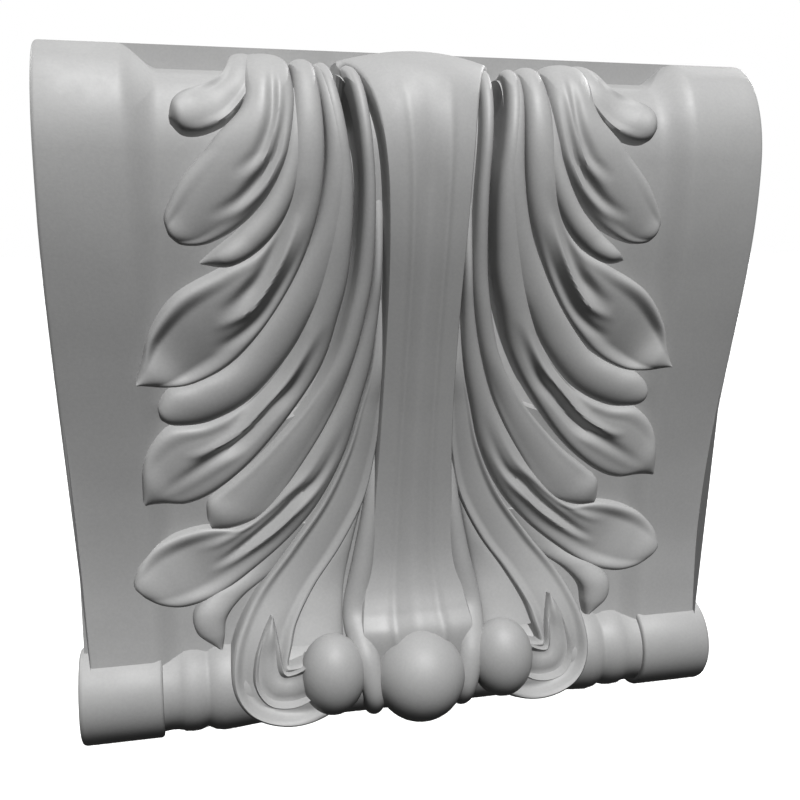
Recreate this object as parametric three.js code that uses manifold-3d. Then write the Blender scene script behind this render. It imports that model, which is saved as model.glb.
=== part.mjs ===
// A carved acanthus corbel for the face of a wall, in one block of stone. Millimetres, +Z up.
// The back is flat and lies on the wall at y = 0. The carved front looks along -Y.
// The origin is the middle of the back face.
import * as THREE from "three";
import { mergeVertices } from "three/addons/utils/BufferGeometryUtils.js";
import Module from "manifold-3d";

const wasm = await Module();
wasm.setup();

// The module is the radius of the foot roll. As in any order, every other size is given in modules,
// from the axis of the foot roll: x across, y back to the wall and z up.
const MODULE_MM = 18;
const WALL_Y = 1;

// The flat back plate.
const PLATE = { halfWidth: 6.9, top: 13.1, frontY: -0.12, bottom: 0 };
const BACK_CENTRE_Z = (PLATE.top + PLATE.bottom) / 2;

// The scrolled body: its front profile, as heights and how far out, from the foot to the fullest point,
// and then an oval roll over the top. Below TAPER.top its sides draw in towards the foot.
const BODY = { halfWidth: 7.15, footHalfWidth: 6.72, backY: 0, rounding: 0.08 };
const FRONT = [
  [-0.9, -0.8],
  [0.5, -0.6],
  [1.5, -0.475],
  [2.7, -0.41],
  [4.2, -0.52],
  [5.7, -0.76],
  [7.15, -1.06],
  [8.5, -1.36],
  [9.8, -1.59],
  [11.02, -1.68],
];
const FULLEST_Z = 11.02;
const TAPER = { top: 9.8, power: 1.5, spread: 3 };
const ROLL_BACK_Y = -0.3;
const BAND_ROLL = { out: 1.38, up: 2.04 };

// The sunk field between the two side bands, and the ogee step down to it.
const FIELD_DEPTH = 0.3;
const FIELD_ROLL = { out: BAND_ROLL.out - FIELD_DEPTH, up: 1.6 };
const STEP = { inner: 4.95, outer: 5.69 };
const FIELD_ROLL_LENGTH = 2.12;

// The turned foot roll: half of its outline from the end inwards, as distance along it and radius.
const FOOT_ROLL = [
  [7.0, 0.93],
  [6.93, 1.0],
  [5.4, 1.0],
  [5.34, 0.96],
  [5.32, 0.88],
  [5.08, 0.875],
  [4.9, 0.92],
  [4.75, 0.94],
  [4.58, 0.93],
  [4.4, 0.88],
  [4.28, 0.95],
  [4.1, 0.985],
  [3.85, 0.97],
  [3.1, 0.91],
];
const BALL = { radius: 0.96, y: -1.15, z: 0.24 };

// The blades of the leaf on one side. Each row is the blade's inner edge x and w, its outer edge x and
// w, how high it stands off the field and how far its middle is hollowed, as a share of that height.
// w is the height up to the fullest point, and past it the way over the roll.
const BLADES = {
  topCurl: [
    [2.9, 13.6, 3.66, 13.6, 0.14, 0],
    [3.15, 12.6, 3.68, 12.7, 0.44, 0.1],
    [3.25, 12.0, 3.85, 12.2, 0.55, 0.22],
    [3.65, 11.52, 4.2, 12.02, 0.5, 0.25],
    [4.15, 11.28, 4.55, 11.9, 0.5, 0.1],
    [4.55, 11.26, 4.74, 11.75, 0.45, 0],
    [4.78, 11.45, 4.8, 11.55, 0.25, 0],
  ],
  firstLobe: [
    [2.57, 13.6, 3.6, 13.6, 0.15, 0],
    [2.52, 12.4, 3.5, 12.4, 0.46, 0],
    [2.53, 11.6, 3.5, 11.7, 0.58, 0.05],
    [2.8, 10.65, 4.05, 11.2, 0.56, 0.04],
    [3.4, 9.85, 4.6, 10.6, 0.54, 0.1],
    [4.1, 9.42, 4.88, 10.1, 0.52, 0.16],
    [4.62, 9.37, 4.96, 9.85, 0.46, 0.1],
    [4.86, 9.52, 4.92, 9.65, 0.3, 0],
  ],
  finger: [
    [2.2, 12.0, 2.6, 12.0, 0.3, 0],
    [2.4, 10.8, 2.8, 10.9, 0.42, 0],
    [2.7, 9.95, 3.15, 10.15, 0.5, 0],
    [3.15, 9.35, 3.6, 9.65, 0.55, 0],
    [3.75, 9.0, 4.05, 9.28, 0.55, 0],
    [4.3, 8.98, 4.33, 9.03, 0.08, 0],
  ],
  secondLobe: [
    [2.07, 13.6, 2.55, 13.6, 0.06, 0],
    [2.03, 12.3, 2.52, 12.3, 0.4, 0],
    [1.98, 11.0, 2.6, 11.2, 0.45, 0],
    [2.12, 9.9, 2.75, 10.1, 0.46, 0],
    [2.5, 8.85, 3.2, 9.35, 0.5, 0.05],
    [3.1, 7.85, 3.95, 8.93, 0.56, 0.15],
    [3.75, 7.12, 4.8, 8.45, 0.6, 0.3],
    [4.45, 6.74, 5.3, 7.8, 0.6, 0.35],
    [5.0, 6.68, 5.47, 7.25, 0.58, 0.1],
    [5.56, 6.77, 5.6, 6.85, 0.5, 0],
  ],
  thirdBump: [
    [1.75, 13.6, 2.15, 13.6, 0.02, 0],
    [1.6, 12.1, 2.03, 12.2, 0.34, 0],
    [1.5, 10.8, 1.97, 11.0, 0.4, 0],
    [1.58, 9.7, 2.15, 9.8, 0.4, 0],
    [1.85, 8.7, 2.55, 8.85, 0.4, 0],
    [2.2, 8.0, 3.1, 7.95, 0.42, 0],
    [2.7, 7.15, 3.8, 7.1, 0.46, 0],
    [3.4, 6.35, 4.5, 6.75, 0.5, 0],
    [4.2, 5.92, 4.98, 6.58, 0.5, 0],
    [4.85, 5.86, 5.2, 6.3, 0.45, 0],
    [5.12, 5.95, 5.2, 6.1, 0.3, 0],
  ],
  thirdLobe: [
    [1.72, 13.6, 2.0, 13.6, 0.02, 0],
    [1.58, 12.2, 1.95, 12.2, 0.36, 0],
    [1.4, 10.6, 1.85, 10.6, 0.4, 0],
    [1.48, 9.0, 2.1, 8.9, 0.42, 0],
    [1.68, 8.0, 2.4, 7.8, 0.44, 0],
    [2.0, 6.98, 2.85, 7.0, 0.48, 0.05],
    [2.65, 5.95, 3.5, 6.3, 0.52, 0.1],
    [3.35, 5.07, 4.3, 5.9, 0.54, 0.15],
    [4.05, 4.45, 5.0, 5.8, 0.54, 0.15],
    [4.65, 4.17, 5.4, 5.45, 0.52, 0.1],
    [5.15, 4.2, 5.57, 5.0, 0.5, 0],
    [5.5, 4.2, 5.58, 4.35, 0.42, 0],
  ],
  fourthBump: [
    [1.38, 13.6, 1.6, 13.6, 0.02, 0],
    [1.15, 12.1, 1.42, 12.1, 0.34, 0],
    [1.0, 10.5, 1.27, 10.5, 0.36, 0],
    [1.0, 9.0, 1.33, 9.0, 0.34, 0],
    [1.12, 8.0, 1.5, 8.0, 0.34, 0],
    [1.35, 7.0, 1.8, 7.0, 0.34, 0],
    [1.72, 6.0, 2.4, 6.0, 0.35, 0.12],
    [2.3, 4.9, 3.3, 5.0, 0.35, 0.12],
    [3.0, 3.9, 4.0, 4.42, 0.36, 0.1],
    [3.7, 3.55, 4.3, 4.15, 0.34, 0],
    [4.2, 3.5, 4.32, 3.8, 0.24, 0],
  ],
  fourthLobe: [
    [0.8, 10.5, 1.0, 10.5, -0.08, 0],
    [0.82, 9.0, 1.02, 9.0, 0.28, 0],
    [0.86, 8.0, 1.14, 8.0, 0.3, 0],
    [0.97, 7.0, 1.38, 7.0, 0.31, 0],
    [1.2, 6.0, 1.75, 6.0, 0.32, 0],
    [1.48, 5.0, 2.35, 5.0, 0.33, 0],
    [1.98, 4.0, 3.1, 4.0, 0.35, 0],
    [2.6, 3.25, 3.7, 3.6, 0.38, 0.1],
    [3.35, 2.6, 4.4, 3.6, 0.4, 0.22],
    [4.1, 2.08, 5.0, 3.46, 0.42, 0.36],
    [4.75, 1.9, 5.42, 3.17, 0.42, 0.3],
    [5.2, 1.96, 5.68, 2.86, 0.46, 0.14],
    [5.58, 2.22, 5.81, 2.58, 0.46, 0],
    [5.77, 2.38, 5.84, 2.46, 0.38, 0],
  ],
  footLeaf: [
    [2.2, 3.5, 2.7, 3.5, 0.1, 0],
    [2.9, 2.55, 3.5, 2.6, 0.16, 0],
    [3.6, 2.0, 4.3, 2.15, 0.3, 0],
    [3.95, 1.6, 4.66, 1.75, 0.42, 0],
    [4.02, 1.2, 4.62, 1.3, 0.42, 0],
    [4.08, 0.92, 4.2, 0.95, 0.3, 0],
  ],
  footRibbon: [
    [0.62, 8.6, 0.82, 8.6, -0.08, 0],
    [0.66, 7.0, 0.97, 7.0, 0.3, 0.1],
    [0.72, 6.0, 1.2, 6.0, 0.34, 0.2],
    [0.82, 5.0, 1.48, 5.0, 0.38, 0.3],
    [1.03, 4.0, 1.98, 3.95, 0.42, 0.35],
    [1.52, 3.0, 2.7, 2.95, 0.46, 0.35],
    [2.1, 2.15, 3.4, 2.05, 0.55, 0.3],
    [2.5, 1.45, 3.8, 1.3, 0.78, 0.3],
    [2.65, 0.95, 3.97, 0.65, 0.98, 0.35],
    [2.7, 0.6, 3.93, 0.05, 1.1, 0.4],
    [2.65, 0.35, 3.65, -0.4, 1.2, 0.42],
    [2.5, 0.25, 3.15, -0.66, 1.25, 0.42],
    [2.3, 0.25, 2.55, -0.72, 1.25, 0.36],
    [2.1, 0.35, 1.95, -0.55, 1.2, 0.2],
    [1.9, 0.5, 1.5, -0.2, 1.05, 0],
  ],
  scoop: [
    [3.04, 1.6, 3.1, 1.64, 0.62, 0],
    [2.97, 1.25, 3.28, 1.3, 0.85, 0.1],
    [2.92, 0.9, 3.48, 0.75, 1.05, 0.25],
    [2.88, 0.6, 3.52, 0.2, 1.22, 0.32],
    [2.82, 0.5, 3.25, -0.2, 1.34, 0.36],
    [2.7, 0.52, 2.75, -0.3, 1.38, 0.36],
    [2.52, 0.6, 2.3, -0.12, 1.38, 0.26],
    [2.38, 0.72, 2.02, 0.3, 1.3, 0.1],
  ],
  sidePanel: [
    [1.02, 4.0, 1.12, 4.0, 0.12, 0],
    [1.25, 3.0, 1.6, 3.0, 0.14, 0],
    [1.45, 2.0, 2.3, 2.0, 0.2, 0],
    [1.5, 0.9, 2.9, 0.9, 0.5, 0],
  ],
};

// The middle stem: heights, with its half width and how high it stands off the field.
const STEM = [
  [13.6, 1.75, 0.3],
  [13.1, 1.66, 0.44],
  [12.6, 1.42, 0.56],
  [12.0, 1.16, 0.6],
  [11.0, 0.92, 0.6],
  [9.5, 0.83, 0.56],
  [8.0, 0.8, 0.5],
  [6.0, 0.82, 0.46],
  [4.0, 0.9, 0.44],
  [2.8, 1.0, 0.46],
  [2.0, 1.15, 0.56],
  [1.5, 1.25, 0.75],
  [1.1, 1.3, 0.98],
  [0.6, 1.25, 0.95],
  [0.1, 1.15, 0.75],
  [-0.4, 1.0, 0.5],
];
// Across the stem: a flute between two ridges, and the hood above it, which is domed.
const FLUTE = { top: 12.6, fade: 2.2, depth: 0.13, ridge: 0.38 };
const STEM_DOME = { below: 0.16, hood: 0.5 };
const STEM_ACROSS = [-1, -0.97, -0.75, -0.38, -0.2, 0, 0.2, 0.38, 0.75, 0.97, 1];

// The rounded rim of the stem, which comes down beside the ball: points x, y, z, half width, half depth.
const STEM_RIM = [
  [0.78, -0.3, 5.5, 0.1, 0.12],
  [0.88, -0.36, 4.0, 0.16, 0.18],
  [1.05, -0.36, 2.7, 0.24, 0.24],
  [1.25, -0.48, 1.6, 0.29, 0.24],
  [1.22, -0.85, 1.05, 0.29, 0.26],
  [1.12, -1.14, 0.6, 0.27, 0.26],
  [1.02, -1.22, 0, 0.24, 0.26],
  [0.98, -1.0, -0.35, 0.22, 0.24],
  [0.96, -0.7, -0.45, 0.2, 0.2],
];

// The round lobe that the volute of the foot ribbon ends in.
const LOBE = { centre: [1.86, -1.05, 0.42], size: [0.68, 0.7, 0.86] };

// How many facets the carving has, along and across a blade, round a turned shape, and so on.
const FACETS = {
  along: 11,
  volute: 18,
  across: 6,
  round: 20,
  limb: 7,
  lobe: 14,
  front: 12,
  roll: 6,
  step: 3,
};
// How far a blade's edges go down into the block, and how steep they are: less is steeper.
const ROOT = 0.16;
const EDGE = 0.45;
// The foot roll's facets are turned so that no corner of them falls on an edge of the body.
const FACET_TURN = 0.1;
// Half of the short way over which a slope or a direction is taken.
const NEARBY = 0.01;

// Where two surfaces cross they leave slivers: edges and triangles far finer than a chisel's work.
// Each edge shorter than FINEST_MM is drawn together to one point, and a triangle flatter than
// FLATTEST_MM gives its longest edge to the other diagonal.
const FINEST_MM = 0.12;
const FLATTEST_MM = 0.03;
const CLEANING_ROUNDS = 12;
const SAME = 1e-5;
const TINY = 1e-9;

const lerp = (a, b, t) => a + (b - a) * t;
const clamp01 = (t) => Math.min(1, Math.max(0, t));
const smooth = (t) => clamp01(t) ** 2 * (3 - 2 * clamp01(t));

// The value at t of a smooth curve through rows of numbers, which are evenly spaced in t.
function through(rows, t) {
  const last = rows.length - 1;
  const at = Math.min(last - TINY, clamp01(t) * last);
  const i = Math.floor(at);
  const f = at - i;
  const [p, q, r, s] = [i - 1, i, i + 1, i + 2].map((k) => rows[Math.min(last, Math.max(0, k))]);
  return q.map((_, k) => {
    const bend = 2 * p[k] - 5 * q[k] + 4 * r[k] - s[k];
    const twist = 3 * (q[k] - r[k]) + s[k] - p[k];
    return q[k] + 0.5 * f * (r[k] - p[k] + f * (bend + f * twist));
  });
}

// The height of the front at z, by the smooth curve through the points of FRONT.
function frontY(z) {
  let i = 1;
  while (i < FRONT.length - 2 && FRONT[i + 1][0] < z) i += 1;
  const [z0, y0] = FRONT[i];
  const [z1, y1] = FRONT[i + 1];
  const slopeAt = (k) => {
    const a = FRONT[Math.max(0, k - 1)];
    const b = FRONT[Math.min(FRONT.length - 1, k + 1)];
    return k === FRONT.length - 1 ? 0 : (b[1] - a[1]) / (b[0] - a[0]);
  };
  const d = z1 - z0;
  const f = (z - z0) / d;
  const bend = y0 * (2 * f ** 3 - 3 * f ** 2 + 1) + y1 * (3 * f ** 2 - 2 * f ** 3);
  return bend + slopeAt(i) * d * (f ** 3 - 2 * f ** 2 + f) + slopeAt(i + 1) * d * (f ** 3 - f ** 2);
}

// A point of the sunk field. Up to the fullest point w is the height z, and beyond it w is the way
// along the roll, then straight back to the plate. The point stands off the field by lift.
function onField(x, w, lift) {
  const roll = w - FULLEST_Z;
  if (roll <= 0) {
    const slope = (frontY(w + NEARBY) - frontY(w - NEARBY)) / (2 * NEARBY);
    const size = Math.hypot(1, slope);
    return [x, frontY(w) + FIELD_DEPTH - lift / size, w + (lift * slope) / size];
  }
  const turn = (Math.min(roll / FIELD_ROLL_LENGTH, 1) * Math.PI) / 2;
  const back = Math.max(0, roll - FIELD_ROLL_LENGTH);
  const normal = [-Math.cos(turn) / FIELD_ROLL.out, Math.sin(turn) / FIELD_ROLL.up];
  const size = Math.hypot(...normal);
  const y = ROLL_BACK_Y - FIELD_ROLL.out * Math.cos(turn) + back;
  const z = FULLEST_Z + FIELD_ROLL.up * Math.sin(turn);
  return [x, y + (lift * normal[0]) / size, z + (lift * normal[1]) / size];
}

// A closed solid through rings of points, each ring turning the same way, with a flat cap at both ends.
function loft(rings) {
  const n = rings[0].length;
  const positions = rings.flat(2);
  const index = [];
  rings.slice(1).forEach((_, i) => {
    for (let j = 0; j < n; j += 1) {
      const a = i * n + j;
      const b = i * n + ((j + 1) % n);
      index.push(a, b, b + n, a, b + n, a + n);
    }
  });
  for (const [ring, flip] of [[0, true], [rings.length - 1, false]]) {
    const middle = positions.length / 3;
    for (let k = 0; k < 3; k += 1) positions.push(rings[ring].reduce((s, p) => s + p[k], 0) / n);
    for (let j = 0; j < n; j += 1) {
      const a = ring * n + j;
      const b = ring * n + ((j + 1) % n);
      index.push(...(flip ? [middle, b, a] : [middle, a, b]));
    }
  }
  return solid(positions, index);
}

// The solid of a triangle list, turned to face outwards.
function solid(positions, index) {
  const made = new wasm.Manifold(
    new wasm.Mesh({
      numProp: 3,
      vertProperties: new Float32Array(positions),
      triVerts: new Uint32Array(index),
    }),
  );
  if (made.volume() > 0) return made;
  const turned = [];
  for (let i = 0; i < index.length; i += 3) turned.push(index[i], index[i + 2], index[i + 1]);
  return solid(positions, turned);
}

// The solid of one of three.js's own shapes, moved to its place.
function solidOf(geometry) {
  geometry.deleteAttribute("normal");
  geometry.deleteAttribute("uv");
  const merged = mergeVertices(geometry, SAME);
  return solid(Array.from(merged.attributes.position.array), Array.from(merged.index.array));
}

// The closed outline of the body at x, from the foot round the front and the top to the back.
function bodyRing(station) {
  const { x, inset } = station;
  const rise = smooth((Math.abs(x) - STEP.inner) / (STEP.outer - STEP.inner));
  const narrow = 1 - BODY.footHalfWidth / BODY.halfWidth;
  const out = lerp(FIELD_ROLL.out, BAND_ROLL.out, rise);
  const up = lerp(FIELD_ROLL.up, BAND_ROLL.up, rise);
  const ring = [];
  for (let i = 0; i <= FACETS.front; i += 1) {
    const z = (FULLEST_Z * i) / FACETS.front;
    ring.push([frontY(z) + inset + FIELD_DEPTH * (1 - rise), z]);
  }
  for (let i = 1; i <= FACETS.roll; i += 1) {
    const turn = (Math.PI / 2) * (i / FACETS.roll);
    ring.push([ROLL_BACK_Y - (out - inset) * Math.cos(turn), FULLEST_Z + (up - inset) * Math.sin(turn)]);
  }
  ring.push([BODY.backY, FULLEST_Z + up - inset], [BODY.backY, 0]);
  return ring.map(([y, z]) => {
    const low = clamp01(1 - z / TAPER.top) ** TAPER.power;
    const wide = (Math.abs(x) / BODY.halfWidth) ** TAPER.spread;
    return [x * (1 - narrow * low * wide), y, z];
  });
}

function body() {
  const half = [{ x: 0, inset: 0 }];
  for (let i = 0; i <= FACETS.step; i += 1) {
    half.push({ x: lerp(STEP.inner, STEP.outer, i / FACETS.step), inset: 0 });
  }
  for (const turn of [0, Math.PI / 4, Math.PI / 2]) {
    const r = BODY.rounding;
    half.push({ x: BODY.halfWidth - r + r * Math.sin(turn), inset: r - r * Math.cos(turn) });
  }
  const left = half.slice(1).map(({ x, inset }) => ({ x: -x, inset }));
  return loft([...left.reverse(), ...half].map(bodyRing));
}

function plate() {
  const depth = WALL_Y - PLATE.frontY;
  const box = new THREE.BoxGeometry(2 * PLATE.halfWidth, depth, PLATE.top - PLATE.bottom);
  return solidOf(box.translate(0, PLATE.frontY + depth / 2, BACK_CENTRE_Z));
}

function footRoll() {
  const half = FOOT_ROLL.map(([x, radius]) => new THREE.Vector2(radius, x));
  const other = half.map(({ x, y }) => new THREE.Vector2(x, -y)).reverse();
  const end = FOOT_ROLL[0][0];
  const outline = [new THREE.Vector2(0, end), ...half, ...other, new THREE.Vector2(0, -end)].reverse();
  return solidOf(new THREE.LatheGeometry(outline, FACETS.round, FACET_TURN).rotateZ(-Math.PI / 2));
}

function ball() {
  const shape = new THREE.SphereGeometry(BALL.radius, FACETS.round, FACETS.round / 2);
  return solidOf(shape.rotateX(Math.PI / 2).translate(0, BALL.y, BALL.z));
}

// A blade of the leaf, from its rows.
function blade([name, rows]) {
  const along = name === "footRibbon" ? FACETS.volute : FACETS.along;
  const rings = [];
  for (let i = 0; i <= along; i += 1) {
    const [xa, wa, xb, wb, lift, hollow] = through(rows, i / along);
    const ring = [];
    for (let j = 0; j <= FACETS.across; j += 1) {
      const turn = (Math.PI * j) / FACETS.across;
      const u = (1 - Math.cos(turn)) / 2;
      const crown = Math.sin(turn) ** EDGE * (1 - hollow * Math.sin(turn) ** 2);
      ring.push(onField(lerp(xa, xb, u), lerp(wa, wb, u), (lift + ROOT) * crown - ROOT));
    }
    rings.push(ring);
  }
  return loft(rings);
}

// The middle stem, which goes down behind the ball.
function stem() {
  const across = STEM_ACROSS.length - 1;
  return loft(
    STEM.map(([w, halfWidth, lift]) => {
      const fluted = smooth((FLUTE.top - w) / FLUTE.fade);
      const dome = lerp(STEM_DOME.hood, STEM_DOME.below, fluted);
      return STEM_ACROSS.map((u, j) => {
        const flute = FLUTE.depth * fluted * (1 - smooth(Math.abs(u) / FLUTE.ridge));
        const height = lift * (1 - dome * u ** 2 - flute);
        return onField(u * halfWidth, w, j % across === 0 ? -ROOT : height);
      });
    }),
  );
}

// A rounded limb along a curve. Each row is a point x, y, z and the half width and half depth there.
function limb(rows) {
  const { along, limb: sides } = FACETS;
  const rings = [];
  for (let i = 0; i <= along; i += 1) {
    const [x, y, z, width, depth] = through(rows, i / along);
    const ahead = through(rows, i / along + NEARBY);
    const behind = through(rows, i / along - NEARBY);
    const way = new THREE.Vector3(ahead[0] - behind[0], ahead[1] - behind[1], ahead[2] - behind[2]);
    const side = new THREE.Vector3(0, -1, 0).cross(way).normalize();
    const front = way.clone().cross(side).normalize();
    const ring = [];
    for (let j = 0; j < sides; j += 1) {
      const turn = (2 * Math.PI * j) / sides;
      const p = new THREE.Vector3(x, y, z);
      p.addScaledVector(side, width * Math.cos(turn)).addScaledVector(front, depth * Math.sin(turn));
      ring.push(p.toArray());
    }
    rings.push(ring);
  }
  return loft(rings);
}

function lobe({ centre, size }) {
  const shape = new THREE.SphereGeometry(1, FACETS.lobe, FACETS.lobe / 2).rotateX(Math.PI / 2);
  return solidOf(shape.scale(...size).translate(...centre));
}

const oneSide = [...Object.entries(BLADES).map(blade), limb(STEM_RIM), lobe(LOBE)];

// The same solid on the other side of the middle.
const mirrored = (made) => made.mirror([1, 0, 0]);

const pieces = [body(), plate(), footRoll(), ball(), stem(), ...oneSide, ...oneSide.map(mirrored)];
const whole = pieces
  .reduce((a, b) => a.add(b))
  .translate([0, -WALL_Y, -BACK_CENTRE_Z])
  .scale([MODULE_MM, MODULE_MM, MODULE_MM]);

// The mesh without its slivers, as points and triangles.
function cleaned(mesh) {
  const points = [];
  for (let i = 0; i < mesh.vertProperties.length; i += 3) {
    points.push(new THREE.Vector3().fromArray(mesh.vertProperties, i));
  }
  let triangles = [];
  for (let i = 0; i < mesh.triVerts.length; i += 3) triangles.push([...mesh.triVerts.slice(i, i + 3)]);
  const normal = (t, moved = -1, to = null) => {
    const [a, b, c] = t.map((v) => points[v === moved ? to : v]);
    return b.clone().sub(a).cross(c.clone().sub(a));
  };
  const edges = (t) => t.map((v, i) => points[v].distanceTo(points[t[(i + 1) % 3]]));
  const isLongest = (t, edge) => edges(t).every((length) => length <= edge + SAME);
  for (let round = 0; round < CLEANING_ROUNDS; round += 1) {
    const around = points.map(() => []);
    triangles.forEach((t) => t.forEach((v) => around[v].push(t)));
    const beside = (v) => new Set(around[v].flat());
    const done = new Set();
    const free = (list) => list.every((v) => !done.has(v));
    for (const t of triangles) {
      for (let k = 0; k < t.length; k += 1) {
        const [a, b, c] = [t[k], t[(k + 1) % 3], t[(k + 2) % 3]];
        const edge = points[a].distanceTo(points[b]);
        const both = around[a].filter((s) => s.includes(b));
        const other = both.find((s) => s !== t);
        if (!free([a, b, c]) || !other) continue;
        if (edge < FINEST_MM) {
          const near = beside(a);
          const shared = [...beside(b)].filter((v) => near.has(v) && v !== a && v !== b);
          const kept = around[b].filter((s) => !s.includes(a));
          const safe = kept.every((s) => normal(s).dot(normal(s, b, a)) > 0);
          if (shared.length !== 2 || !safe || !free([...near, ...beside(b)])) continue;
          [...near, ...beside(b)].forEach((v) => done.add(v));
          both.forEach((s) => s.splice(0));
          kept.forEach((s) => s.splice(s.indexOf(b), 1, a));
        } else if (normal(t).length() / edge < FLATTEST_MM && isLongest(t, edge)) {
          const d = other.find((v) => v !== a && v !== b);
          const first = [a, d, c];
          const second = [d, b, c];
          const ahead = normal(other);
          const flat = [first, second].some((s) => normal(s).dot(ahead) <= 0);
          if (flat || !free([d]) || beside(c).has(d)) continue;
          [a, b, c, d].forEach((v) => done.add(v));
          t.splice(0, 3, ...first);
          other.splice(0, 3, ...second);
        }
      }
    }
    triangles = triangles.filter((t) => t.length === 3);
  }
  return { points, triangles };
}

const { points, triangles } = cleaned(whole.getMesh());
const raw = new THREE.BufferGeometry();
raw.setAttribute("position", new THREE.Float32BufferAttribute(points.flatMap((p) => p.toArray()), 3));
raw.setIndex(triangles.flat());
const geometry = raw.toNonIndexed();
geometry.computeVertexNormals();

const stone = new THREE.MeshStandardMaterial({ color: 0x8a8a88, roughness: 0.75, metalness: 0 });
const corbel = new THREE.Mesh(geometry, stone);
corbel.name = "corbel";
const root = new THREE.Group();
root.add(corbel);
export default root;
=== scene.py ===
import itertools
import math

import bpy
import numpy as np
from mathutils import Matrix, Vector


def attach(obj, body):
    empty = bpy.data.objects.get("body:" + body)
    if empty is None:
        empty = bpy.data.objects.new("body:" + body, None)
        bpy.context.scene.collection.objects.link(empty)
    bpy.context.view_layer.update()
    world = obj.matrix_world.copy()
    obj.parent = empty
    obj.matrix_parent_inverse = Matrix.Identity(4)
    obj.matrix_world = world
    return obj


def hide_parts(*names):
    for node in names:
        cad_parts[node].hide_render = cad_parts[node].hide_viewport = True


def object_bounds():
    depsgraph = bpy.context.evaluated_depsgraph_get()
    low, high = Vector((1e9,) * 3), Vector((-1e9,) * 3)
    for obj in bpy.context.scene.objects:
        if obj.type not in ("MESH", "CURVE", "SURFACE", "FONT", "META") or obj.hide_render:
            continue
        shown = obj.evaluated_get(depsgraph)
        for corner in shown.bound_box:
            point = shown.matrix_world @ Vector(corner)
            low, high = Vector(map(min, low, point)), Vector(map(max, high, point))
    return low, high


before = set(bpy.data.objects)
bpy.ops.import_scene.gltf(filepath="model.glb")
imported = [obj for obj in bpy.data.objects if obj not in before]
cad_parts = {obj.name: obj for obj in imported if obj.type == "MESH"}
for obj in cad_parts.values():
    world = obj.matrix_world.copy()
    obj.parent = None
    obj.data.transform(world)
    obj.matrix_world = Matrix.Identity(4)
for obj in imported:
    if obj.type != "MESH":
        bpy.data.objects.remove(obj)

# The looks of a carved acanthus corbel: the finely carved stone, a pale floor, studio light and a camera.
# Sizes are in modules, the radius of the foot roll, from the roll's axis: x across, y back to the wall
# and z up. The module and the place of the axis come from the frame.
cad_low, cad_high = [list(corner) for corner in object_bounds()]

BODY_HALF_WIDTH = 7.15
PLATE_TOP = 13.1
WALL_Y = 1.0
MODULE = (cad_high[0] - cad_low[0]) / (2 * BODY_HALF_WIDTH)
AXIS = np.array([0.0, -WALL_Y * MODULE, cad_high[2] - PLATE_TOP * MODULE])

# The flat back plate.
PLATE = {"half_width": 6.9, "front_y": -0.12, "bottom": 0.0}

# The scrolled body: its front profile, as heights and how far out, from the foot to the fullest point,
# and then an oval roll over the top. Below the taper's top its sides draw in towards the foot.
FRONT = [
    [-0.9, -0.8], [0.5, -0.6], [1.5, -0.475], [2.7, -0.41], [4.2, -0.52], [5.7, -0.76],
    [7.15, -1.06], [8.5, -1.36], [9.8, -1.59], [11.02, -1.68],
]
FULLEST_Z = 11.02
BODY_BACK_Y = 0.0
FOOT_HALF_WIDTH = 6.72
TAPER = {"top": 9.8, "power": 1.5, "spread": 3}
ROUNDING = 0.08
ROLL_BACK_Y = -0.3

# How far out and how far up the roll goes, at the side bands and over the sunk field between them.
# An ogee step leads from the one to the other.
FIELD_DEPTH = 0.3
BAND_ROLL = (1.38, 2.04)
FIELD_ROLL = (BAND_ROLL[0] - FIELD_DEPTH, 1.6)
FIELD_ROLL_LENGTH = 2.12
STEP = {"inner": 4.95, "outer": 5.69}

# The turned foot roll: half of its outline from the end inwards, as distance along it and radius.
FOOT_ROLL = [
    [7.0, 0.9], [6.985, 0.95], [6.95, 0.985], [6.9, 1.0], [5.4, 1.0], [5.36, 0.985], [5.34, 0.95],
    [5.335, 0.885], [5.2, 0.87], [5.05, 0.875], [4.95, 0.9], [4.9, 0.925], [4.75, 0.94], [4.6, 0.93],
    [4.47, 0.89], [4.42, 0.88], [4.38, 0.9], [4.28, 0.95], [4.1, 0.985], [3.85, 0.97], [3.5, 0.94],
    [3.1, 0.91],
]

# The ball at the foot of the stem and the lobe of each volute: a centre and three half sizes.
BALL = ([0.0, -1.15, 0.24], [0.96, 0.96, 0.96])
SCROLL_LOBE = ([1.86, -1.05, 0.42], [0.68, 0.7, 0.86])

# The middle stem, from the top down. Each row is a height, a half width and how high it stands off the
# field. Across, it has a flute between two ridges, which ends below the domed hood at the top.
STEM = [
    [13.6, 1.75, 0.3], [13.1, 1.66, 0.44], [12.6, 1.42, 0.56], [12.0, 1.16, 0.6], [11.0, 0.92, 0.6],
    [9.5, 0.83, 0.56], [8.0, 0.8, 0.5], [6.0, 0.82, 0.46], [4.0, 0.9, 0.44], [2.8, 1.0, 0.46],
    [2.0, 1.15, 0.56], [1.5, 1.25, 0.75], [1.1, 1.3, 0.98], [0.6, 1.25, 0.95], [0.1, 1.15, 0.75],
    [-0.4, 1.0, 0.5],
]
STEM_DOME = {"hood": 0.5, "below": 0.16}
STEM_SHOULDER = 0.07
FLUTE = {"top": 12.6, "fade": 2.2, "half_width": 0.36, "depth": 0.15}
RIDGE = {"place": 0.4, "width": 0.08, "height": 0.07}

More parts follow.
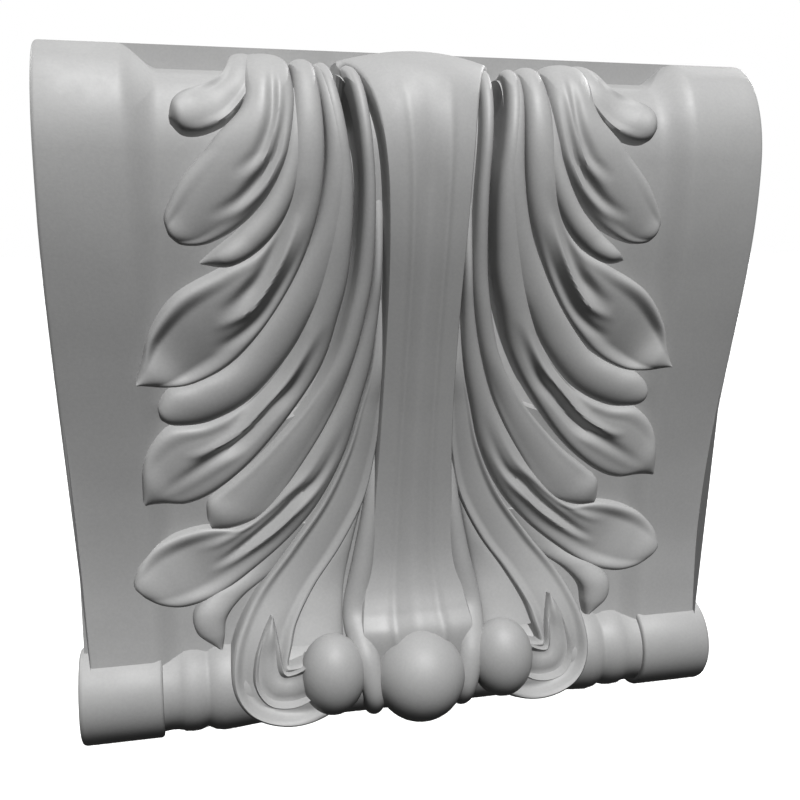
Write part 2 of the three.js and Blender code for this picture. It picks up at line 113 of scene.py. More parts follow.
# The rim beside the stem, which curls over the foot roll. Each row is a point, a half width and a half
# depth.
STEM_RIM = [
    [0.78, -0.3, 5.5, 0.1, 0.12],
    [0.88, -0.36, 4.0, 0.16, 0.18],
    [1.05, -0.36, 2.7, 0.24, 0.24],
    [1.25, -0.48, 1.6, 0.29, 0.24],
    [1.22, -0.85, 1.05, 0.29, 0.26],
    [1.12, -1.14, 0.6, 0.27, 0.26],
    [1.02, -1.22, 0.0, 0.24, 0.26],
    [0.98, -1.0, -0.35, 0.22, 0.24],
    [0.96, -0.7, -0.45, 0.2, 0.2],
]

# The dark slot in the field between the third and fourth groups of lobes. It narrows at both ends.
TRENCH = [
    [1.72, 13.5], [1.58, 12.4], [1.37, 11.0], [1.34, 10.0], [1.4, 9.0], [1.6, 8.0], [1.88, 7.1],
    [2.26, 6.3], [2.55, 5.98], [3.0, 5.7],
]
TRENCH_HALF_WIDTH = 0.15
TRENCH_DEPTH = 1.1
TRENCH_OPENING = 0.12
TRENCH_FADE = 0.15
TRENCH_END_SHARE = 0.2

# Every blade of the leaf: how steep its edges are, where a smaller number is steeper, how far they reach
# below the field, the share of its width that a rim takes, and over what shares of their length and of
# the blade's width its marks fade out.
EDGE = 0.36
ROOT = 0.16
RIM_SHARE = 0.24
MARK_FADE = 0.42
MARK_MARGIN = 0.06

# How finely the forms are cut, along and across them or round them.
BLADE_STEPS = (80, 16)
LOBE_STEPS = (130, 40)
LONG_LOBE_STEPS = (175, 40)
RIBBON_STEPS = (140, 28)
STEM_STEPS = (149, 56)
LIMB_STEPS = (80, 28)
OVAL_STEPS = 56
FOOT_ROLL_STEPS = 96
TRENCH_STEPS = 59
FRONT_STEPS = 69
ROLL_STEPS = 39
FIRST_STATION = 0.4
STATIONS = {"field": 12, "step": 14, "band": 6, "rounding": 5}
PARTS_PER_POINT = 8
NEARBY = 0.01

# Each row of a blade is its inner edge x and w, its outer edge x and w, how high it stands off the field
# and how far its middle is hollowed. w is the height, and past the fullest point the way over the roll.
# Each mark is how high a ridge or how deep a groove is, how wide, and the line x, w that it follows.
BLADES = {
    "top_curl": {
        "rows": [
            [2.9, 13.6, 3.66, 13.6, 0.14, 0],
            [3.15, 12.6, 3.68, 12.7, 0.44, 0.1],
            [3.25, 12.0, 3.85, 12.2, 0.55, 0.22],
            [3.65, 11.52, 4.2, 12.02, 0.5, 0.25],
            [4.15, 11.28, 4.55, 11.9, 0.5, 0.1],
            [4.55, 11.26, 4.74, 11.75, 0.45, 0],
            [4.78, 11.45, 4.8, 11.55, 0.25, 0],
        ],
    },
    "first_lobe": {
        "steps": LOBE_STEPS,
        "rows": [
            [2.57, 13.6, 3.6, 13.6, 0.15, 0],
            [2.52, 12.4, 3.5, 12.4, 0.46, 0],
            [2.53, 11.6, 3.5, 11.7, 0.58, 0.05],
            [2.8, 10.65, 4.05, 11.2, 0.56, 0.04],
            [3.4, 9.85, 4.6, 10.6, 0.54, 0.1],
            [4.1, 9.42, 4.88, 10.1, 0.52, 0.16],
            [4.62, 9.37, 4.96, 9.85, 0.46, 0.1],
            [4.86, 9.52, 4.92, 9.65, 0.3, 0],
        ],
        "marks": [
            [-0.1, 0.1, [[2.93, 12.4], [2.93, 11.9], [3.0, 11.4], [3.3, 10.95], [3.8, 10.6]]],
            [0.05, 0.08, [[2.8, 12.4], [2.82, 11.8], [2.92, 11.3], [3.2, 10.8], [3.7, 10.45]]],
            [-0.1, 0.1, [[2.7, 12.0], [2.8, 11.35], [3.1, 10.75], [3.6, 10.22], [4.25, 9.88]]],
            [0.05, 0.08, [[2.66, 11.6], [2.78, 11.1], [3.08, 10.5], [3.55, 10.05], [4.1, 9.75]]],
        ],
    },
    "finger": {
        "rows": [
            [2.2, 12.0, 2.6, 12.0, 0.3, 0],
            [2.4, 10.8, 2.8, 10.9, 0.42, 0],
            [2.7, 9.95, 3.15, 10.15, 0.5, 0],
            [3.15, 9.35, 3.6, 9.65, 0.55, 0],
            [3.75, 9.0, 4.05, 9.28, 0.55, 0],
            [4.3, 8.98, 4.33, 9.03, 0.08, 0],
        ],
    },
    "second_lobe": {
        "steps": LONG_LOBE_STEPS,
        "rows": [
            [2.07, 13.6, 2.55, 13.6, 0.06, 0],
            [2.03, 12.3, 2.52, 12.3, 0.4, 0],
            [1.98, 11.0, 2.6, 11.2, 0.45, 0],
            [2.12, 9.9, 2.75, 10.1, 0.46, 0],
            [2.5, 8.85, 3.2, 9.35, 0.5, 0.05],
            [3.1, 7.85, 3.95, 8.93, 0.56, 0.15],
            [3.75, 7.12, 4.8, 8.45, 0.6, 0.3],
            [4.45, 6.74, 5.3, 7.8, 0.6, 0.35],
            [5.0, 6.68, 5.47, 7.25, 0.58, 0.1],
            [5.56, 6.77, 5.6, 6.85, 0.5, 0],
        ],
        "marks": [
            [-0.16, 0.14, [[2.35, 10.6], [2.8, 9.6], [3.2, 8.85], [3.6, 8.4], [4.1, 8.05]]],
            [0.1, 0.08, [[2.5, 10.0], [2.72, 9.4], [3.1, 8.65], [3.5, 8.15], [4.2, 7.82]]],
            [-0.08, 0.1, [[2.3, 9.8], [2.65, 9.0], [3.1, 8.2], [3.6, 7.7], [4.2, 7.4]]],
        ],
    },
    "third_bump": {
        "rows": [
            [1.87, 13.6, 2.2, 13.6, 0.02, 0],
            [1.72, 12.1, 2.06, 12.2, 0.34, 0],
            [1.5, 10.8, 1.97, 11.0, 0.4, 0],
            [1.58, 9.7, 2.15, 9.8, 0.4, 0],
            [1.85, 8.7, 2.55, 8.85, 0.4, 0],
            [2.2, 8.0, 3.1, 7.95, 0.42, 0],
            [2.7, 7.15, 3.8, 7.1, 0.46, 0],
            [3.4, 6.35, 4.5, 6.75, 0.5, 0],
            [4.2, 5.92, 4.98, 6.58, 0.5, 0],
            [4.85, 5.86, 5.2, 6.3, 0.45, 0],
            [5.12, 5.95, 5.2, 6.1, 0.3, 0],
        ],
    },
    "third_lobe": {
        "steps": LONG_LOBE_STEPS,
        "rows": [
            [1.85, 13.6, 2.1, 13.6, 0.02, 0],
            [1.7, 12.2, 2.0, 12.2, 0.36, 0],
            [1.44, 10.6, 1.85, 10.6, 0.4, 0],
            [1.48, 9.0, 2.1, 8.9, 0.42, 0],
            [1.68, 8.0, 2.4, 7.8, 0.44, 0],
            [2.0, 6.98, 2.85, 7.0, 0.48, 0.05],
            [2.65, 5.95, 3.5, 6.3, 0.52, 0.1],
            [3.35, 5.07, 4.3, 5.9, 0.54, 0.15],
            [4.05, 4.45, 5.0, 5.8, 0.54, 0.15],
            [4.65, 4.17, 5.4, 5.45, 0.52, 0.1],
            [5.15, 4.2, 5.57, 5.0, 0.5, 0],
            [5.5, 4.2, 5.58, 4.35, 0.42, 0],
        ],
        "marks": [
            [-0.22, 0.12, [[1.9, 7.9], [2.5, 6.75], [3.0, 6.15], [3.6, 5.5], [4.2, 5.15], [5.4, 4.4]]],
            [0.12, 0.09, [[2.0, 8.0], [2.6, 6.95], [3.1, 6.35], [3.6, 5.8], [4.3, 5.35], [4.8, 5.25]]],
            [-0.1, 0.1, [[2.3, 7.8], [2.8, 6.95], [3.4, 6.3], [3.9, 5.85]]],
        ],
    },
    "fourth_bump": {
        "rows": [
            [1.38, 13.6, 1.6, 13.6, 0.02, 0],
            [1.15, 12.1, 1.42, 12.1, 0.34, 0],
            [1.0, 10.5, 1.27, 10.5, 0.36, 0],
            [1.0, 9.0, 1.33, 9.0, 0.34, 0],
            [1.12, 8.0, 1.5, 8.0, 0.34, 0],
            [1.35, 7.0, 1.8, 7.0, 0.34, 0],
            [1.72, 6.0, 2.4, 6.0, 0.35, 0.12],
            [2.3, 4.9, 3.3, 5.0, 0.35, 0.12],
            [3.0, 3.9, 4.0, 4.42, 0.36, 0.1],
            [3.7, 3.55, 4.3, 4.15, 0.34, 0],
            [4.2, 3.5, 4.32, 3.8, 0.24, 0],
        ],
    },
    "fourth_lobe": {
        "steps": LOBE_STEPS,
        "rows": [
            [0.8, 10.5, 1.0, 10.5, -0.08, 0],
            [0.82, 9.0, 1.02, 9.0, 0.28, 0],
            [0.86, 8.0, 1.14, 8.0, 0.3, 0],
            [0.97, 7.0, 1.38, 7.0, 0.31, 0],
            [1.2, 6.0, 1.75, 6.0, 0.32, 0],
            [1.48, 5.0, 2.35, 5.0, 0.33, 0],
            [1.98, 4.0, 3.1, 4.0, 0.35, 0],
            [2.6, 3.25, 3.7, 3.6, 0.38, 0.1],
            [3.35, 2.6, 4.4, 3.6, 0.4, 0.22],
            [4.1, 2.08, 5.0, 3.46, 0.42, 0.36],
            [4.75, 1.88, 5.46, 3.24, 0.47, 0.24],
            [5.2, 1.93, 5.72, 2.92, 0.52, 0.1],
            [5.54, 2.1, 5.83, 2.66, 0.46, 0],
            [5.73, 2.3, 5.85, 2.48, 0.38, 0],
        ],
        "marks": [
            [-0.14, 0.09, [[1.4, 5.9], [2.0, 4.65], [2.5, 4.15], [3.0, 3.65], [3.8, 3.0], [4.3, 2.7]]],
            [0.08, 0.08, [[1.6, 5.9], [2.2, 4.8], [2.7, 4.3], [3.2, 3.85], [4.0, 3.3], [4.6, 3.1]]],
            [0.08, 0.08, [[1.5, 5.2], [2.1, 4.3], [2.6, 3.8], [3.1, 3.35], [3.8, 2.85], [4.4, 2.55]]],
        ],
    },
    "foot_leaf": {
        "rows": [
            [2.2, 3.5, 2.7, 3.5, 0.1, 0],
            [2.9, 2.55, 3.5, 2.6, 0.16, 0],
            [3.6, 2.0, 4.3, 2.15, 0.3, 0],
            [3.95, 1.6, 4.66, 1.75, 0.42, 0],
            [4.02, 1.2, 4.62, 1.3, 0.42, 0],
            [4.08, 0.92, 4.2, 0.95, 0.3, 0],
        ],
    },
    "foot_ribbon": {
        "steps": RIBBON_STEPS,
        "rows": [
            [0.62, 8.6, 0.82, 8.6, -0.08, 0],
            [0.66, 7.0, 0.97, 7.0, 0.3, 0.1],
            [0.72, 6.0, 1.2, 6.0, 0.34, 0.2],
            [0.82, 5.0, 1.48, 5.0, 0.38, 0.3],
            [1.03, 4.0, 1.98, 3.95, 0.42, 0.35],
            [1.52, 3.0, 2.7, 2.95, 0.46, 0.35],
            [2.1, 2.15, 3.4, 2.05, 0.55, 0.3],
            [2.5, 1.45, 3.8, 1.3, 0.78, 0.3],
            [2.65, 0.95, 3.97, 0.65, 0.98, 0.35],
            [2.74, 0.66, 3.93, 0.05, 1.1, 0.4],
            [2.74, 0.6, 3.65, -0.4, 1.2, 0.42],
            [2.64, 0.62, 3.15, -0.66, 1.25, 0.42],
            [2.48, 0.66, 2.55, -0.72, 1.25, 0.36],
            [2.24, 0.7, 1.95, -0.55, 1.2, 0.2],
            [1.95, 0.7, 1.5, -0.2, 1.05, 0],
        ],
    },
    "scoop": {
        "rows": [
            [3.04, 1.6, 3.1, 1.64, 0.62, 0],
            [2.97, 1.25, 3.28, 1.3, 0.85, 0.1],
            [2.92, 0.9, 3.48, 0.75, 1.05, 0.25],
            [2.88, 0.6, 3.52, 0.2, 1.22, 0.32],
            [2.82, 0.5, 3.25, -0.2, 1.34, 0.36],
            [2.7, 0.52, 2.75, -0.3, 1.38, 0.36],
            [2.52, 0.6, 2.3, -0.12, 1.38, 0.26],
            [2.38, 0.72, 2.02, 0.3, 1.3, 0.1],
        ],
    },
    "side_panel": {
        "rows": [
            [1.02, 4.0, 1.12, 4.0, 0.12, 0],
            [1.25, 3.0, 1.6, 3.0, 0.14, 0],
            [1.45, 2.0, 2.3, 2.0, 0.2, 0],
            [1.5, 0.9, 2.9, 0.9, 0.5, 0],
        ],
    },
}

# The attribute that numbers the forms, to find the edges where two of them meet.
FORM = "carved_form"
FORM_NUMBERS = itertools.count()
SHARP_ANGLE = math.radians(40)

# The stone: two tones, and noises per metre for its clouds, its grain, its wear and its tooled surface.
DARK_STONE = (0.235, 0.235, 0.235, 1)
PALE_STONE = (0.275, 0.275, 0.273, 1)
CLOUDS = {"scale": 14, "detail": 3}
GRAIN = {"scale": 900, "detail": 2}
WEAR = {"scale": 60, "detail": 4}
TOOLING = {"scale": 1400, "detail": 3}
NOISE_ROUGHNESS = 0.55
NOISE_RANGE = (0.3, 0.7)
CLOUDS_SHARE = 0.6
GRAIN_SHARE = 0.4
STONE_ROUGHNESS = (0.5, 0.66)
BUMP_STRENGTH = 0.12
BUMP_METRES = 0.0002

# The floor, in metres. It looks pale, but throws hardly any light back at the stone.
FLOOR_HALF_SIZE = 6.0
FLOOR_BELOW = 0.002
FLOOR_LOOK = (0.9, 0.9, 0.9, 1)
FLOOR_ROUGHNESS = 0.9
FLOOR_GLOW = (0.03, 0.03, 0.03, 1)

# The lights, in metres, watts and radians.
KEY_ELEVATION = math.radians(56)
KEY_STRENGTH = 3.4
KEY_SPREAD = math.radians(20)
SOFTBOX_DISTANCE = 1.15
SOFTBOX_POWER = 11.5
SOFTBOX_SIZE = 0.4
REAR_STRENGTH = 1.6
REAR_TILT = math.radians(60)
REAR_TURN = math.radians(55)
WHITE = (1, 1, 1, 1)
AMBIENT = 0.035

# The camera: its place in modules, its turn, and its sensor and lens in millimetres.
CAMERA_AT = (-5.0697, -20.5481, 9.7078)
CAMERA_PITCH = math.radians(80.086)
CAMERA_YAW = math.radians(-13.431)
SENSOR_MM = 36
LENS_MM = 45
NEAREST_SEEN = 0.01


def smooth(t):
    """A smooth rise from 0 to 1 as t goes from 0 to 1."""
    t = np.clip(t, 0, 1)
    return t * t * (3 - 2 * t)


def through(rows, t):
    """The values at t of a smooth curve through rows of numbers, which are evenly spaced in t."""
    rows = np.array(rows, float)
    last = len(rows) - 1
    at = np.clip(t, 0, 1) * last
    i = np.minimum(at.astype(int), last - 1)
    f = (at - i)[:, None]
    p, q, r, s = (rows[np.clip(i + k, 0, last)] for k in (-1, 0, 1, 2))
    bend = 2 * p - 5 * q + 4 * r - s
    twist = 3 * (q - r) + s - p
    return q + 0.5 * f * (r - p + f * (bend + f * twist))


def front_y(z):
    """How far out the front of the body stands at height z. It is upright at the fullest point."""
    zs, ys = np.array(FRONT).T
    slopes = np.empty(len(zs))
    slopes[1:-1] = (ys[2:] - ys[:-2]) / (zs[2:] - zs[:-2])
    slopes[0] = (ys[1] - ys[0]) / (zs[1] - zs[0])
    slopes[-1] = 0
    i = np.clip(np.searchsorted(zs, z) - 1, 0, len(zs) - 2)
    d = zs[i + 1] - zs[i]
    f = (z - zs[i]) / d
    ends = ys[i] * (2 * f**3 - 3 * f**2 + 1) + ys[i + 1] * (3 * f**2 - 2 * f**3)
    return ends + d * (slopes[i] * (f**3 - 2 * f**2 + f) + slopes[i + 1] * (f**3 - f**2))


def on_field(x, w, lift):
    """Points that stand off the sunk field by lift."""
    x, w, lift = np.broadcast_arrays(np.asarray(x, float), w, lift)
    low = np.minimum(w, FULLEST_Z)
    slope = (front_y(low + NEARBY) - front_y(low - NEARBY)) / (2 * NEARBY)
    slope = np.where(w >= FULLEST_Z, 0, slope)
    size = np.hypot(1, slope)
    flat = [front_y(low) + FIELD_DEPTH - lift / size, low + lift * slope / size]
    roll = np.maximum(w - FULLEST_Z, 0)
    turn = np.minimum(roll / FIELD_ROLL_LENGTH, 1) * math.pi / 2
    back = np.maximum(0, roll - FIELD_ROLL_LENGTH)
    out, up = FIELD_ROLL
    normal = np.array([-np.cos(turn) / out, np.sin(turn) / up])
    normal = normal / np.hypot(*normal)
    curved = [
        ROLL_BACK_Y - out * np.cos(turn) + back + lift * normal[0],
        FULLEST_Z + up * np.sin(turn) + lift * normal[1],
    ]
    y, z = (np.where(w <= FULLEST_Z, a, b) for a, b in zip(flat, curved))
    return np.stack([x, y, z], -1)


def values(items, name, width=1, kind=float):
    """One property of all the items, in a flat array."""
    found = np.empty(len(items) * width, kind)
    items.foreach_get(name, found)
    return found


def placed(name, data):
    """A new object of that data, in the scene."""
    made = bpy.data.objects.new(name, data)
    bpy.context.scene.collection.objects.link(made)
    return made


def mesh_object(name, points, faces):
    """An object of that mesh, moved from modules into the frame and turned to face outwards."""
    mesh = bpy.data.meshes.new(name)
    mesh.from_pydata((np.asarray(points) * MODULE + AXIS).tolist(), [], faces)
    form = mesh.attributes.new(FORM, "INT", "FACE")
    form.data.foreach_set("value", np.full(len(mesh.polygons), next(FORM_NUMBERS), np.int32))
    places = values(mesh.vertices, "co", 3).reshape(-1, 3)
    mesh.calc_loop_triangles()
    corners = values(mesh.loop_triangles, "vertices", 3, int).reshape(-1, 3)
    a, b, c = places[corners.T]
    if np.einsum("ij,ij->", a, np.cross(b, c)) < 0:
        mesh.flip_normals()
    return placed(name, mesh)


def loft(name, rings):
    """A closed solid through rings of points, with a flat cap at both ends."""
    rings = np.asarray(rings)
    count, n, _ = rings.shape
    points = rings.reshape(-1, 3)
    faces = []
    for i in range(count - 1):
        for j in range(n):
            k = (j + 1) % n
            faces.append([i * n + j, i * n + k, (i + 1) * n + k, (i + 1) * n + j])
    for ring, order in ((0, -1), (count - 1, 1)):
        middle = len(points)
        points = np.vstack([points, rings[ring].mean(0)])
        for j in range(n):
            faces.append([middle, *[ring * n + j, ring * n + (j + 1) % n][::order]])
    return mesh_object(name, points, faces)


def body_stations():
    """The places across the body where its profile is drawn, and how far it is drawn in there."""
    inner, outer, side = STEP["inner"], STEP["outer"], BODY_HALF_WIDTH - ROUNDING
    half = [(x, 0.0) for x in np.linspace(FIRST_STATION, inner, STATIONS["field"], endpoint=False)]
    half += [(x, 0.0) for x in np.linspace(inner, outer, STATIONS["step"] + 1)]
    half += [(x, 0.0) for x in np.linspace(outer, side, STATIONS["band"] + 1)[1:-1]]
    for turn in np.linspace(0, math.pi / 2, STATIONS["rounding"] + 1):
        half.append((side + ROUNDING * math.sin(turn), ROUNDING - ROUNDING * math.cos(turn)))
    return [(-x, inset) for x, inset in reversed(half)] + half


def body():
    """The scrolled block behind the carving, with its sunk field between two bands."""
    narrow = 1 - FOOT_HALF_WIDTH / BODY_HALF_WIDTH
    front_z = np.linspace(0, FULLEST_Z, FRONT_STEPS + 1)
    turn = np.linspace(0, math.pi / 2, ROLL_STEPS + 1)[1:]
    rings = []
    for x, inset in body_stations():
        rise = smooth((abs(x) - STEP["inner"]) / (STEP["outer"] - STEP["inner"]))
        out, up = (field + (band - field) * rise for field, band in zip(FIELD_ROLL, BAND_ROLL))
        y = np.concatenate([
            front_y(front_z) + inset + FIELD_DEPTH * (1 - rise),
            ROLL_BACK_Y - (out - inset) * np.cos(turn),
            [BODY_BACK_Y, BODY_BACK_Y],
        ])
        z = np.concatenate([
            front_z,
            FULLEST_Z + (up - inset) * np.sin(turn),
            [FULLEST_Z + up - inset, 0],
        ])
        lowness = np.clip(1 - z / TAPER["top"], 0, 1) ** TAPER["power"]
        taper = narrow * lowness * (abs(x) / BODY_HALF_WIDTH) ** TAPER["spread"]
        rings.append(np.stack([x * (1 - taper), y, z], -1))
    return loft("body", rings)


def plate():
    """The flat plate behind the body, which lies on the wall."""
    side, front = PLATE["half_width"], PLATE["front_y"]
    outline = [[-side, front], [side, front], [side, WALL_Y], [-side, WALL_Y]]
    return loft("plate", [[[x, y, z] for x, y in outline] for z in (PLATE["bottom"], PLATE_TOP)])


def foot_roll():
    """The turned roll below the body."""
    outline = FOOT_ROLL + [[-x, radius] for x, radius in reversed(FOOT_ROLL)]
    turn = np.linspace(0, 2 * math.pi, FOOT_ROLL_STEPS, endpoint=False)
    rings = []
    for x, radius in outline:
        ring = [np.full(FOOT_ROLL_STEPS, x), radius * np.cos(turn), radius * np.sin(turn)]
        rings.append(np.stack(ring, -1))
    return loft("foot_roll", rings)


def oval(name, centre, half_sizes):
    """An egg-shaped solid."""
    turn = np.linspace(0, 2 * math.pi, OVAL_STEPS, endpoint=False)
    rings = []
    for angle in np.linspace(0, math.pi, OVAL_STEPS // 2 + 1)[1:-1]:
        ring = np.stack([
            np.sin(angle) * np.cos(turn),
            np.sin(angle) * np.sin(turn),
            np.full(OVAL_STEPS, np.cos(angle)),
        ], -1)
        rings.append(ring * half_sizes + centre)
    return loft(name, rings)


def distance(x, w, line):
    """How far each point x, w of the field lies from a line through a few points, and how far along the
    line, from 0 to 1, its nearest place is."""
    fine = through(line, np.linspace(0, 1, PARTS_PER_POINT * len(line)))
    a, b = fine[:-1], fine[1:]
    way = b - a
    px, pw = x[..., None] - a[:, 0], w[..., None] - a[:, 1]
    along = np.clip((px * way[:, 0] + pw * way[:, 1]) / (way**2).sum(1), 0, 1)
    far = np.hypot(px - along * way[:, 0], pw - along * way[:, 1])
    nearest = far.argmin(-1)
    run = (nearest + np.take_along_axis(along, nearest[..., None], -1)[..., 0]) / len(a)
    return far.min(-1), run


def blade(name, rows, marks=(), steps=BLADE_STEPS):
    """A blade of the leaf, hollowed between its two rims, with its ridges and grooves."""
    t = np.linspace(0, 1, steps[0] + 1)
    xa, wa, xb, wb, lift, hollow = (v[:, None] for v in through(rows, t).T)
    even = np.linspace(0, 1, steps[1] + 1)[None, :]
    u = (even + (1 - np.cos(math.pi * even)) / 2) / 2
    x, w = xa + (xb - xa) * u, wa + (wb - wa) * u
    from_edge = np.minimum(u, 1 - u)
    crown = (2 * np.sqrt(u * (1 - u))) ** EDGE
    bowl = smooth(from_edge / RIM_SHARE)
    height = (lift + ROOT) * crown * (1 - hollow * bowl) - ROOT
    inside = smooth(from_edge / MARK_MARGIN)
    for rise, width, line in marks:
        far, run = distance(x, w, line)
        fade = smooth(run / MARK_FADE) * smooth((1 - run) / MARK_FADE)
        height = height + rise * fade * inside * np.exp(-((far / width) ** 2))
    return loft(name, on_field(x, w, height))


def stem():
    """The middle stem: a flute between two ridges, which ends below the full hood at the top."""
    t = np.linspace(0, 1, STEM_STEPS[0] + 1)
    w, half_width, lift = (v[:, None] for v in through(STEM, t).T)
    even = np.linspace(-1, 1, STEM_STEPS[1] + 1)[None, :]
    u = (even + np.sin(even * math.pi / 2)) / 2
    fluted = smooth((FLUTE["top"] - w) / FLUTE["fade"])
    ridge = RIDGE["height"] * np.exp(-(((np.abs(u) - RIDGE["place"]) / RIDGE["width"]) ** 2))
    flute = FLUTE["depth"] * (1 - smooth(np.abs(u) / FLUTE["half_width"]))
    shoulder = smooth((1 - np.abs(u)) / STEM_SHOULDER)
    dome = STEM_DOME["hood"] + (STEM_DOME["below"] - STEM_DOME["hood"]) * fluted
    shape = 1 - dome * u**2 + fluted * (ridge - flute)
    height = (lift * shape + ROOT) * shoulder - ROOT
    return loft("stem", on_field(u * half_width, w, height))


def limb(name, rows):
    """A rounded limb along a curve."""
    t = np.linspace(0, 1, LIMB_STEPS[0] + 1)
    rows_at = through(rows, t)
    way = through(rows, t + NEARBY)[:, :3] - through(rows, t - NEARBY)[:, :3]
    side = np.cross([0, -1, 0], way)
    side /= np.linalg.norm(side, axis=1)[:, None]
    front = np.cross(way, side)
    front /= np.linalg.norm(front, axis=1)[:, None]
    turn = np.linspace(0, 2 * math.pi, LIMB_STEPS[1], endpoint=False)[None, :, None]
    rings = rows_at[:, None, :3] + side[:, None] * rows_at[:, None, 3:4] * np.cos(turn)
    return loft(name, rings + front[:, None] * rows_at[:, None, 4:5] * np.sin(turn))


def trench():
    """The slot in the field, as a solid to take away."""
    t = np.linspace(0, 1, TRENCH_STEPS + 1)
    place = through(TRENCH, t)
    way = through(TRENCH, t + NEARBY) - through(TRENCH, t - NEARBY)
    fade = smooth(t / TRENCH_FADE) * smooth((1 - t) / TRENCH_FADE)
    half_width = TRENCH_HALF_WIDTH * (TRENCH_END_SHARE + (1 - TRENCH_END_SHARE) * fade)
    side = np.stack([way[:, 1], -way[:, 0]], -1) * (half_width / np.hypot(*way.T))[:, None]
    corners = []
    for across, lift in ((-1, TRENCH_OPENING), (1, TRENCH_OPENING), (1, -TRENCH_DEPTH), (-1, -TRENCH_DEPTH)):
        x, w = (place + across * side).T
        corners.append(on_field(x, w, lift))
    return loft("trench", np.stack(corners, 1))


def joined(name, parts, operation="UNION"):
    """One solid of the parts, or of the first without the others."""
    whole = parts[0]
    for part in parts[1:]:
        join = whole.modifiers.new("join", "BOOLEAN")
        join.operation = operation
        join.solver = "MANIFOLD"
        join.object = part
        bpy.context.view_layer.update()
        made = bpy.data.meshes.new_from_object(whole.evaluated_get(bpy.context.evaluated_depsgraph_get()))
        whole.modifiers.clear()
        old = whole.data
        whole.data = made
        bpy.data.meshes.remove(old)
        bpy.data.objects.remove(part)
    whole.name = name
    whole.data.name = name
    return whole


def mirrored(part):
    """A copy of the part on the other side of the middle."""
    mesh = part.data.copy()
    places = values(mesh.vertices, "co", 3)
    places[::3] *= -1
    mesh.vertices.foreach_set("co", places)
    mesh.flip_normals()
    return placed(part.name + "_other", mesh)


def sharpen(mesh):
    """Smooth shading, but crisp where two forms meet and at steep corners."""
    mesh.shade_smooth()
    mesh.set_sharp_from_angle(angle=SHARP_ANGLE)
    sharp = values(mesh.attributes["sharp_edge"].data, "value", kind=bool)
    form = values(mesh.attributes[FORM].data, "value", kind=np.int32)
    edge_of = values(mesh.loops, "edge_index", kind=np.int64)
    sides = values(mesh.polygons, "loop_total", kind=np.int64)
    first = np.full(len(mesh.edges), -1, np.int64)
    for edge, number in zip(edge_of, np.repeat(form, sides)):
        if first[edge] < 0:
            first[edge] = number
        elif first[edge] != number:
            sharp[edge] = True
    mesh.attributes["sharp_edge"].data.foreach_set("value", sharp)
    mesh.attributes.remove(mesh.attributes[FORM])


def corbel():
    """The whole corbel as one solid."""
    one_side = [blade(name, **shape) for name, shape in BLADES.items()]
    one_side += [limb("stem_rim", STEM_RIM), oval("scroll_lobe", *SCROLL_LOBE)]
    slot = trench()
    block = joined("block", [body(), slot, mirrored(slot)], "DIFFERENCE")
    middle = [block, plate(), foot_roll(), stem(), oval("ball", *BALL)]
    whole = joined("carved_corbel", middle + one_side + [mirrored(part) for part in one_side])
    sharpen(whole.data)
    # The joins leave an empty material slot.
    whole.data.materials.clear()
    return whole


def stone():
    """Fine-grained grey stone: slow clouds of tone, a fine grain, and a lightly tooled surface."""
    material = bpy.data.materials.new("grey_stone")
    material.use_nodes = True
    nodes, links = material.node_tree.nodes, material.node_tree.links
    shader = nodes["Principled BSDF"]
    place = nodes.new("ShaderNodeTexCoord")

    def noise(scale, detail):
        made = nodes.new("ShaderNodeTexNoise")
        made.inputs["Scale"].default_value = scale
        made.inputs["Detail"].default_value = detail
        made.inputs["Roughness"].default_value = NOISE_ROUGHNESS
        links.new(place.outputs["Object"], made.inputs["Vector"])
        return made.outputs["Fac"]

    def spread(value, low, high):
        made = nodes.new("ShaderNodeMapRange")
        made.inputs["From Min"].default_value = NOISE_RANGE[0]
        made.inputs["From Max"].default_value = NOISE_RANGE[1]
        made.inputs["To Min"].default_value = low
        made.inputs["To Max"].default_value = high
        links.new(value, made.inputs["Value"])
        return made.outputs["Result"]

    both = nodes.new("ShaderNodeMath")
    both.operation = "ADD"
    links.new(spread(noise(**CLOUDS), 0, CLOUDS_SHARE), both.inputs[0])
    links.new(spread(noise(**GRAIN), 0, GRAIN_SHARE), both.inputs[1])
    tone = nodes.new("ShaderNodeMix")
    tone.data_type = "RGBA"
    tone.inputs["A"].default_value = DARK_STONE
    tone.inputs["B"].default_value = PALE_STONE
    links.new(both.outputs[0], tone.inputs["Factor"])
    links.new(tone.outputs["Result"], shader.inputs["Base Color"])
    links.new(spread(noise(**WEAR), *STONE_ROUGHNESS), shader.inputs["Roughness"])
    bump = nodes.new("ShaderNodeBump")
    bump.inputs["Strength"].default_value = BUMP_STRENGTH
    bump.inputs["Distance"].default_value = BUMP_METRES
    links.new(noise(**TOOLING), bump.inputs["Height"])
    links.new(bump.outputs["Normal"], shader.inputs["Normal"])
    return material


def seen_and_given(tree, output, seen, given):
    """Shows one shader to the camera's own rays and lets the other light the rest of the scene."""
    path = tree.nodes.new("ShaderNodeLightPath")
    mix = tree.nodes.new("ShaderNodeMixShader")
    tree.links.new(path.outputs["Is Camera Ray"], mix.inputs["Fac"])
    tree.links.new(given.outputs[0], mix.inputs[1])
    tree.links.new(seen.outputs[0], mix.inputs[2])
    tree.links.new(mix.outputs[0], tree.nodes[output].inputs["Surface"])


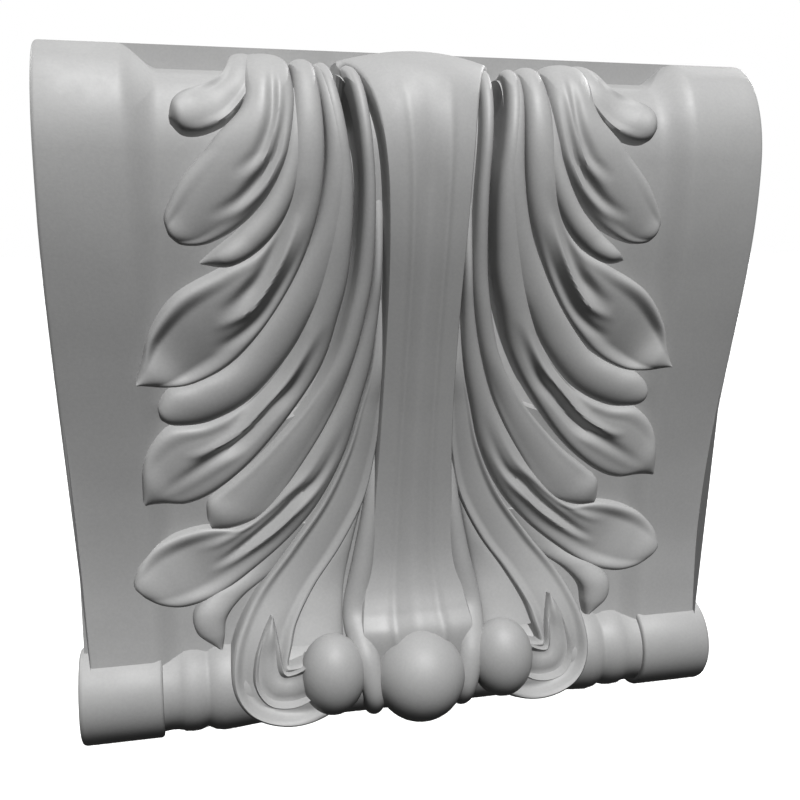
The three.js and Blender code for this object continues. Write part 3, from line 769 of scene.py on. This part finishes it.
def floor():
    """A pale floor just below the corbel."""
    side, z = FLOOR_HALF_SIZE, cad_low[2] - FLOOR_BELOW
    mesh = bpy.data.meshes.new("floor")
    corners = [(-side, -side, z), (side, -side, z), (side, side, z), (-side, side, z)]
    mesh.from_pydata(corners, [], [(0, 1, 2, 3)])
    material = bpy.data.materials.new("pale_floor")
    material.use_nodes = True
    tree = material.node_tree
    pale = tree.nodes["Principled BSDF"]
    pale.inputs["Base Color"].default_value = FLOOR_LOOK
    pale.inputs["Roughness"].default_value = FLOOR_ROUGHNESS
    dim = tree.nodes.new("ShaderNodeBsdfDiffuse")
    dim.inputs["Color"].default_value = FLOOR_GLOW
    seen_and_given(tree, "Material Output", pale, dim)
    mesh.materials.append(material)
    placed("floor", mesh)


def front_lights():
    """A broad key from above the middle and a softbox nearer by on the same line. The photo has no cast
    shadows, so neither throws one."""
    key = bpy.data.lights.new("key", "SUN")
    key.energy = KEY_STRENGTH
    key.angle = KEY_SPREAD
    softbox = bpy.data.lights.new("softbox", "AREA")
    softbox.shape = "DISK"
    softbox.size = SOFTBOX_SIZE
    softbox.energy = SOFTBOX_POWER
    towards = np.array([0, -math.cos(KEY_ELEVATION), math.sin(KEY_ELEVATION)])
    for data in (key, softbox):
        data.use_shadow = False
        lamp = placed(data.name, data)
        lamp.location = towards * SOFTBOX_DISTANCE
        lamp.rotation_euler = (math.pi / 2 - KEY_ELEVATION, 0, 0)


def rear_lights():
    """A lamp behind each side. The body keeps both off the carving."""
    for side in (-1, 1):
        data = bpy.data.lights.new("rear", "SUN")
        data.energy = REAR_STRENGTH
        lamp = placed("rear", data)
        lamp.rotation_euler = (REAR_TILT, 0, math.pi - side * REAR_TURN)


def surround():
    """A white surround for the camera, which adds only a little light."""
    world = bpy.data.worlds.new("studio")
    bpy.context.scene.world = world
    world.use_nodes = True
    tree = world.node_tree
    ambient = tree.nodes["Background"]
    ambient.inputs["Color"].default_value = WHITE
    ambient.inputs["Strength"].default_value = AMBIENT
    seen = tree.nodes.new("ShaderNodeBackground")
    seen.inputs["Color"].default_value = WHITE
    seen_and_given(tree, "World Output", seen, ambient)


def camera():
    """The camera of the photo."""
    data = bpy.data.cameras.new("camera")
    data.sensor_width = SENSOR_MM
    data.lens = LENS_MM
    data.clip_start = NEAREST_SEEN
    made = placed("camera", data)
    made.location = np.array(CAMERA_AT) * MODULE + AXIS
    made.rotation_euler = (CAMERA_PITCH, 0, CAMERA_YAW)
    bpy.context.scene.camera = made


carving = corbel()
carving.data.materials.append(stone())
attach(carving, "root")
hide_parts("corbel")

floor()
front_lights()
rear_lights()
surround()
camera()
bpy.context.scene.view_settings.view_transform = "Standard"
